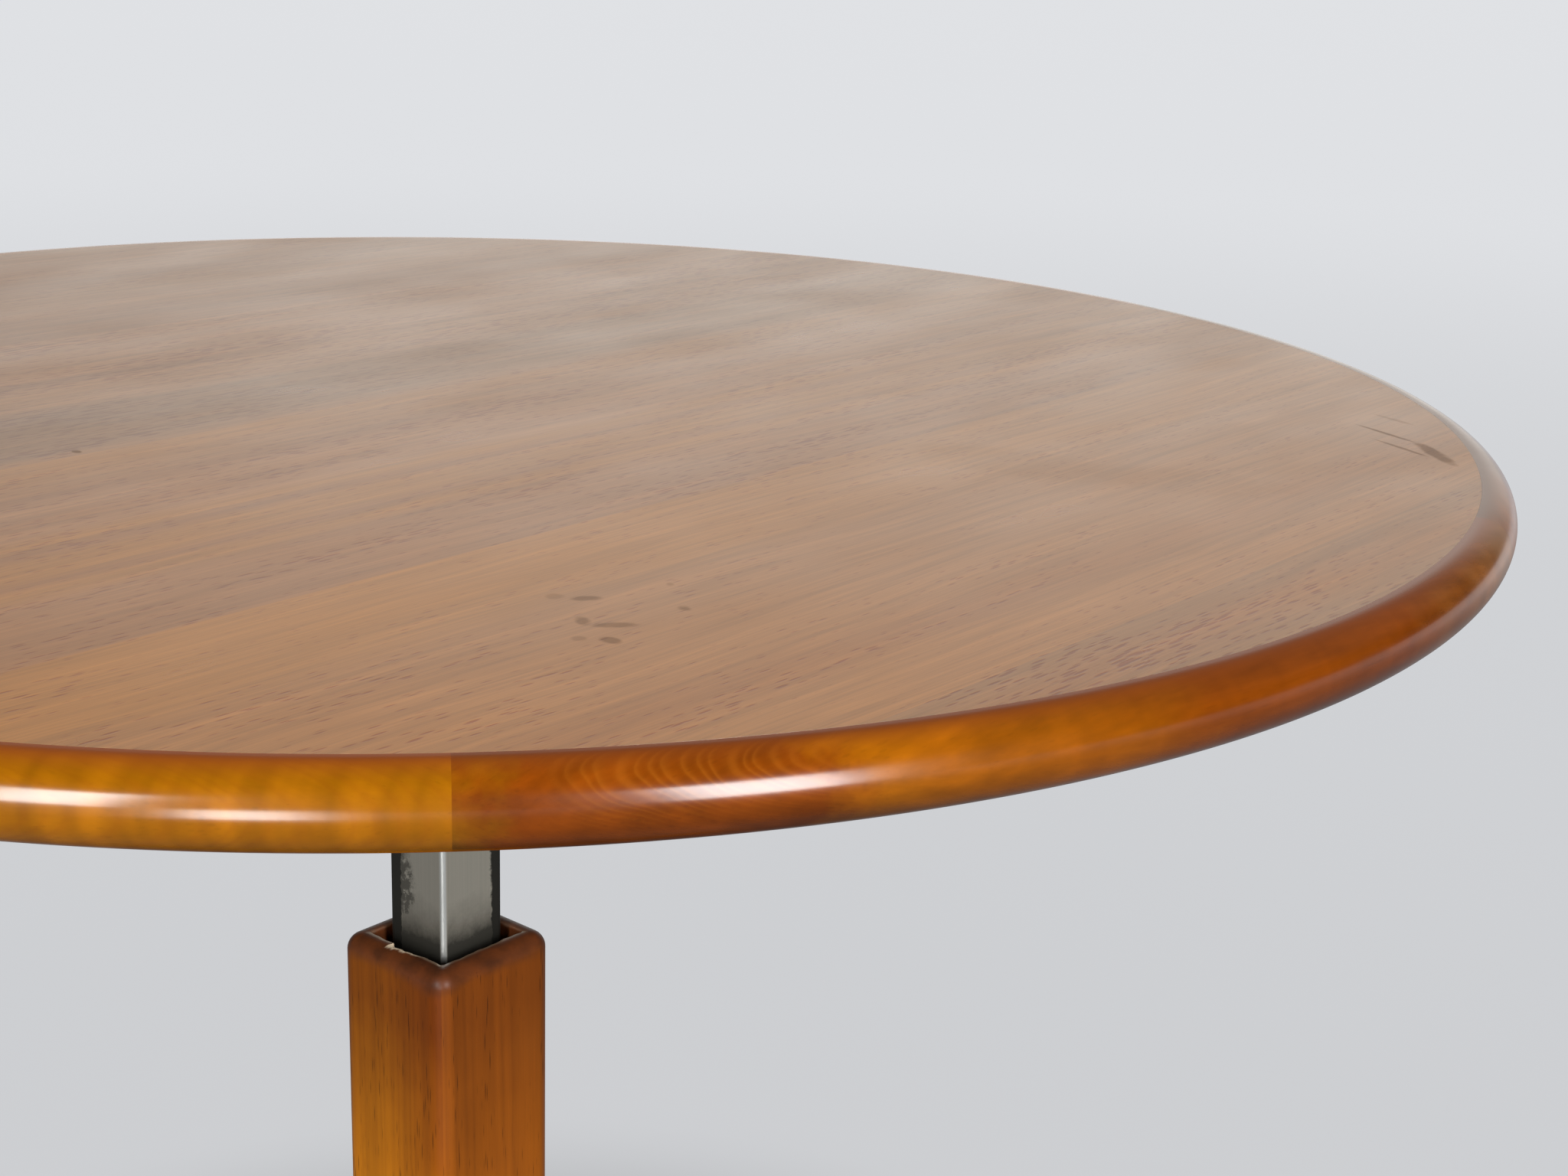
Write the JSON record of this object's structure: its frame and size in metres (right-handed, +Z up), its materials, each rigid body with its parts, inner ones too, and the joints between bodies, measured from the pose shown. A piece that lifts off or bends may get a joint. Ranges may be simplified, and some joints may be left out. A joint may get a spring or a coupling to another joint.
{
  "type": "telescoping pedestal table",
  "caption": "Round pedestal table: lipped, veneered top on a square steel post that telescopes into a hollow timber column with splayed feet, locked by a lever-released gas spring.",
  "frame": {"origin": "on the floor under the middle of the round top", "axes": "+Z up, +X along the grain of the face veneer and along the release lever"},
  "size_m": [0.98, 0.9798, 0.73],
  "materials": {
    "teak_face_veneer": "satin open-pored lacquer on straight-grained teak veneer",
    "teak_lipping": "gloss lacquer on solid teak",
    "teak_column": "satin lacquer on solid teak",
    "teak_feet": "satin lacquer on solid teak",
    "core_board": "raw particle board",
    "backing_veneer": "thin matt lacquer on teak backing veneer",
    "beech": "raw beech dowel",
    "fibre_packing": "raw pressed fibre",
    "bright_post_steel": "drawn satin steel with traces of grease",
    "black_steel": "satin black stoved enamel",
    "zinc_steel": "bright zinc plate",
    "chromed_steel": "hard chrome",
    "nylon": "moulded natural nylon",
    "black_plastic": "moulded black plastic"
  },
  "bodies": {
    "base": {"column_stave_right": "teak_column", "column_stave_back": "teak_column", "column_stave_left": "teak_column", "column_stave_front": "teak_column", "foot_right": "teak_feet", "foot_back": "teak_feet", "foot_left": "teak_feet", "foot_front": "teak_feet", "foot_dowels": "beech", "base_plate_screws": "zinc_steel", "foot_glides": "nylon", "glide_nails": "zinc_steel", "base_plate": "black_steel", "outer_sleeve": "black_steel", "upper_guide_bush": "nylon", "packing_strips": "fibre_packing", "gas_spring_rod": "chromed_steel", "gas_spring_piston": "zinc_steel", "rod_washer": "zinc_steel", "rod_nuts": "zinc_steel"},
    "top": {"top_core": "core_board", "face_leaf_1": "teak_face_veneer", "face_leaf_2": "teak_face_veneer", "face_leaf_3": "teak_face_veneer", "face_leaf_4": "teak_face_veneer", "face_leaf_5": "teak_face_veneer", "face_leaf_6": "teak_face_veneer", "backing_veneer": "backing_veneer", "lipping_1": "teak_lipping", "lipping_2": "teak_lipping", "lipping_3": "teak_lipping", "lipping_4": "teak_lipping", "lipping_5": "teak_lipping", "lipping_6": "teak_lipping", "mounting_plate": "black_steel", "mounting_plate_screws": "zinc_steel", "inner_post": "bright_post_steel", "post_shoe": "nylon", "shoe_pins": "zinc_steel", "gas_spring_cylinder": "black_steel", "gas_spring_seal": "nylon", "cylinder_collar": "nylon", "collar_screws": "zinc_steel", "lever_bracket": "black_steel", "lever_pin": "zinc_steel", "lever_pin_clip": "zinc_steel"},
    "valve": {"release_pin": "chromed_steel"},
    "lever": {"release_lever": "black_steel", "lever_grip": "black_plastic"}
  },
  "joints": [
    {"name": "lift", "type": "slide", "parent": "base", "child": "top", "axis": [0, 0, 1], "range_m": [-0.22, 0]},
    {"name": "lever_pivot", "type": "hinge", "parent": "top", "child": "lever", "pos_m": [0.032, 0, 0.6835], "axis": [0, -1, 0], "range_deg": [0, 5], "stiffness_Nm_per_rad": 4, "springref_deg": -14.32},
    {"name": "valve_press", "type": "slide", "parent": "top", "child": "valve", "axis": [0, 0, -1], "range_m": [0, 0.0028]}
  ],
  "couplings": [
    {"joint": "valve_press", "follows": "lever_pivot", "m_per_rad": 0.032}
  ]
}
